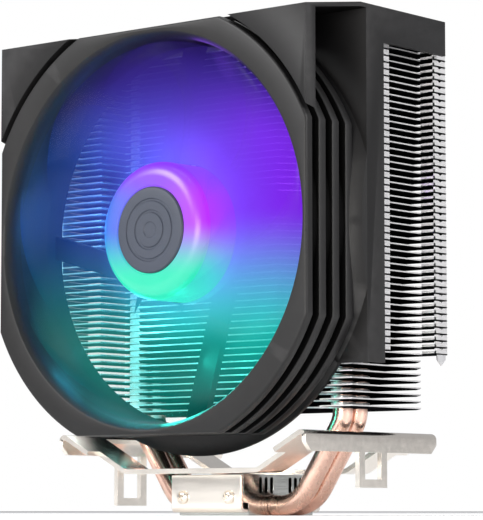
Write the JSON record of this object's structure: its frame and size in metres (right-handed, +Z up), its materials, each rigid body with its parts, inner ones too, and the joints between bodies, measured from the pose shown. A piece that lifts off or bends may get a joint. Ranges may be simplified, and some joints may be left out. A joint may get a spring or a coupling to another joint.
{
  "type": "cpu tower cooler",
  "caption": "Finned tower on U-shaped heat pipes with a dark cover, a lit ribbed fan at the front and a sprung clip frame round the contact block.",
  "frame": {"origin": "centre of the base block's contact face, which rests on the processor", "axes": "+Z up from the board, fan on the -Y side, X across the clip from hook to hook"},
  "size_m": [0.126, 0.0779, 0.1465],
  "materials": {
    "block": "brushed milled aluminium",
    "nickel": "warm nickel plate, satin",
    "screw": "nickel plate",
    "pipe": "bare copper, drawn, satin",
    "fins": "bright rolled aluminium sheet",
    "charcoal": "fine-grained moulded plastic",
    "black_screw": "black oxide",
    "frosted": "frosted translucent plastic, lit from inside",
    "cap": "fine matte",
    "steel": "drawn steel",
    "magnet": "bonded ferrite",
    "brass": "sintered bronze",
    "clip_plastic": "nylon",
    "core": "stacked lamination",
    "winding": "enamelled copper wire",
    "board": "solder mask",
    "led": "clear lens"
  },
  "bodies": {
    "tower": {"base_block": "block", "base_clamp_front": "nickel", "base_clamp_rear": "nickel", "clamp_screw_1": "screw", "clamp_screw_2": "screw", "clamp_screw_3": "screw", "clamp_screw_4": "screw", "mounting_clip": "nickel", "heat_pipe_front": "pipe", "heat_pipe_rear": "pipe", "lower_fin_stack": "fins", "upper_fin_stack": "fins", "cover_shell": "charcoal", "fan_frame": "charcoal", "fan_screw_1": "black_screw", "fan_screw_2": "black_screw", "fan_screw_3": "black_screw", "fan_screw_4": "black_screw", "bearing_sleeve": "brass", "stator_core": "core", "stator_coil_1": "winding", "stator_coil_2": "winding", "stator_coil_3": "winding", "stator_coil_4": "winding", "driver_board": "board", "led_1": "led", "led_2": "led", "led_3": "led", "led_4": "led"},
    "rotor": {"impeller": "frosted", "hub_cap": "cap", "rotor_yoke": "steel", "magnet_ring": "magnet", "rotor_shaft": "steel", "retaining_clip": "clip_plastic"}
  },
  "joints": [
    {"name": "fan_spin", "type": "hinge", "parent": "tower", "child": "rotor", "pos_m": [0, -0.0462, 0.0835], "axis": [0, -1, 0], "continuous": true}
  ]
}
